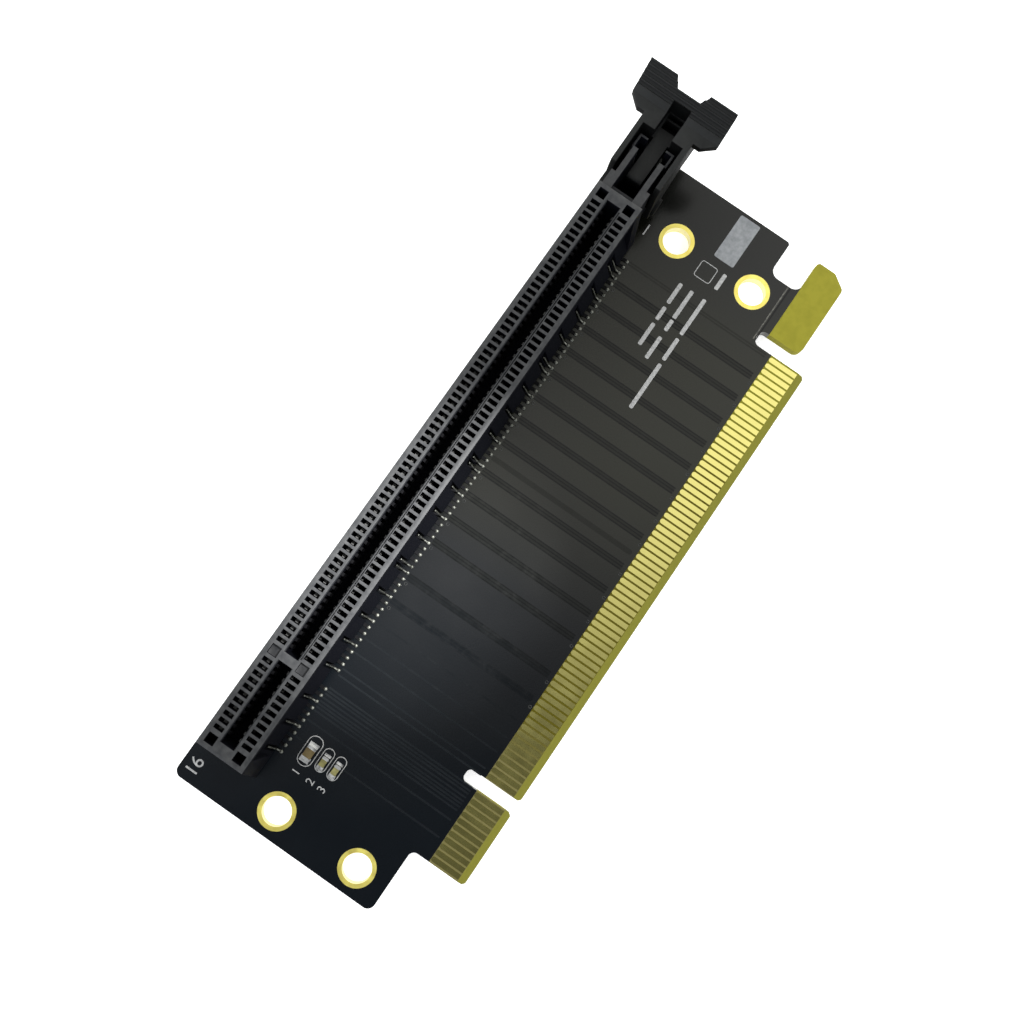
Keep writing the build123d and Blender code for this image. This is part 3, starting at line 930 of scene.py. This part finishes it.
worldPlan = {
    # overhead: dark on the left, where the card mirrors least, and bright on the right
    "dark": 0.105,
    "bright": 1.12,
    "ramp": (-0.12, 0.162),
    "lean": 0.9,
    # darker again above the right end of the connector
    "shade": 0.55,
    "shadeX": (0.12, 0.32),
    "shadeY": (-0.04, 0.10),
    # soft boxes on all sides, from where they start to where they end
    "around": 1.9,
    "aroundFrom": (0.86, 0.66),
    "aroundTo": (0.15, 0.40),
    "lowest": 0.25,
    "toneSpan": (-0.5, 0.5),
    "toneStops": (0.25, 0.8),
    "cool": (0.93, 0.96, 1.0),
    "warm": (1.0, 1.0, 0.97),
}


def makeWorld():
    p = worldPlan
    world = bpy.data.worlds.new("studio")
    bpy.context.scene.world = world
    world.use_nodes = True
    nodes, links = world.node_tree.nodes, world.node_tree.links
    background = nodes["Background"]
    toward = nodes.new("ShaderNodeTexCoord").outputs["Generated"]
    x, y, z = addSplit(nodes, links, toward)
    slant = addMath(nodes, links, "ADD", x, addProduct(nodes, links, y, p["lean"]))
    across = addRange(nodes, links, slant, *p["ramp"], p["dark"], p["bright"])
    farRight = addProduct(nodes, links, addRange(nodes, links, x, *p["shadeX"], 0.0, p["shade"]),
                          addRange(nodes, links, y, *p["shadeY"], 0.0, 1.0))
    across = addProduct(nodes, links, across, addMath(nodes, links, "SUBTRACT", 1.0, farRight))
    rising = addRange(nodes, links, z, *p["aroundFrom"], 0.0, 1.0)
    falling = addRange(nodes, links, z, *p["aroundTo"], p["lowest"], 1.0)
    level = addMath(nodes, links, "ADD", addProduct(nodes, links, across, falling),
                    addProduct(nodes, links, rising, falling, p["around"]))
    fromLeft = addRange(nodes, links, x, *p["toneSpan"], 0.0, 1.0)
    tone = addRamp(nodes, links, fromLeft, p["toneStops"], p["cool"], p["warm"])
    links.new(tone, background.inputs["Color"])
    links.new(level, background.inputs["Strength"])


snootPlan = {
    # a narrow soft beam on the connector, in metres
    "aim": (-0.0105, 0.011, 0.0128),
    "from": (0.32, -0.36, 0.87),
    "away": 0.6,
    "radius": 0.01,
    "cone": 4.9,
    "power": 48,
}


def makeSnoot():
    p = snootPlan
    selectNone()
    away = Vector(p["from"]).normalized()
    bpy.ops.object.light_add(type="SPOT", radius=p["radius"], location=Vector(p["aim"]) + away * p["away"],
                             rotation=away.to_track_quat("Z", "Y").to_euler())
    snoot = bpy.context.object
    snoot.name = "snoot"
    snoot.data.spot_size = math.radians(p["cone"])
    snoot.data.spot_blend = 1
    snoot.data.energy = p["power"]


floorPlan = {
    # in metres
    "size": 3,
    "height": -0.00005,
    "cloud": (3, 2),
    "cloudStops": (0.2, 0.8),
    "dark": (0.93, 0.93, 0.93),
    "light": (0.95, 0.95, 0.95),
    "roughness": 0.9,
    "glow": 0.65,
}


def makeFloor():
    p = floorPlan
    selectNone()
    bpy.ops.mesh.primitive_plane_add(size=p["size"], location=(0, 0, p["height"]))
    floor = bpy.context.object
    floor.name = "floor"
    applyPlace(floor)
    material, nodes, links, shader, place = startMaterial("paleFloor")
    cloud = addNoise(nodes, links, place, *p["cloud"])
    tint = addRamp(nodes, links, cloud, p["cloudStops"], p["dark"], p["light"])
    links.new(tint, shader.inputs["Base Color"])
    shader.inputs["Roughness"].default_value = p["roughness"]
    shader.inputs["Emission Color"].default_value = (1, 1, 1, 1)
    shader.inputs["Emission Strength"].default_value = p["glow"]
    floor.data.materials.append(material)


makeCamera()
makeWorld()
makeSnoot()
makeFloor()
bpy.context.scene.view_settings.view_transform = "Standard"
print("camera and light made")
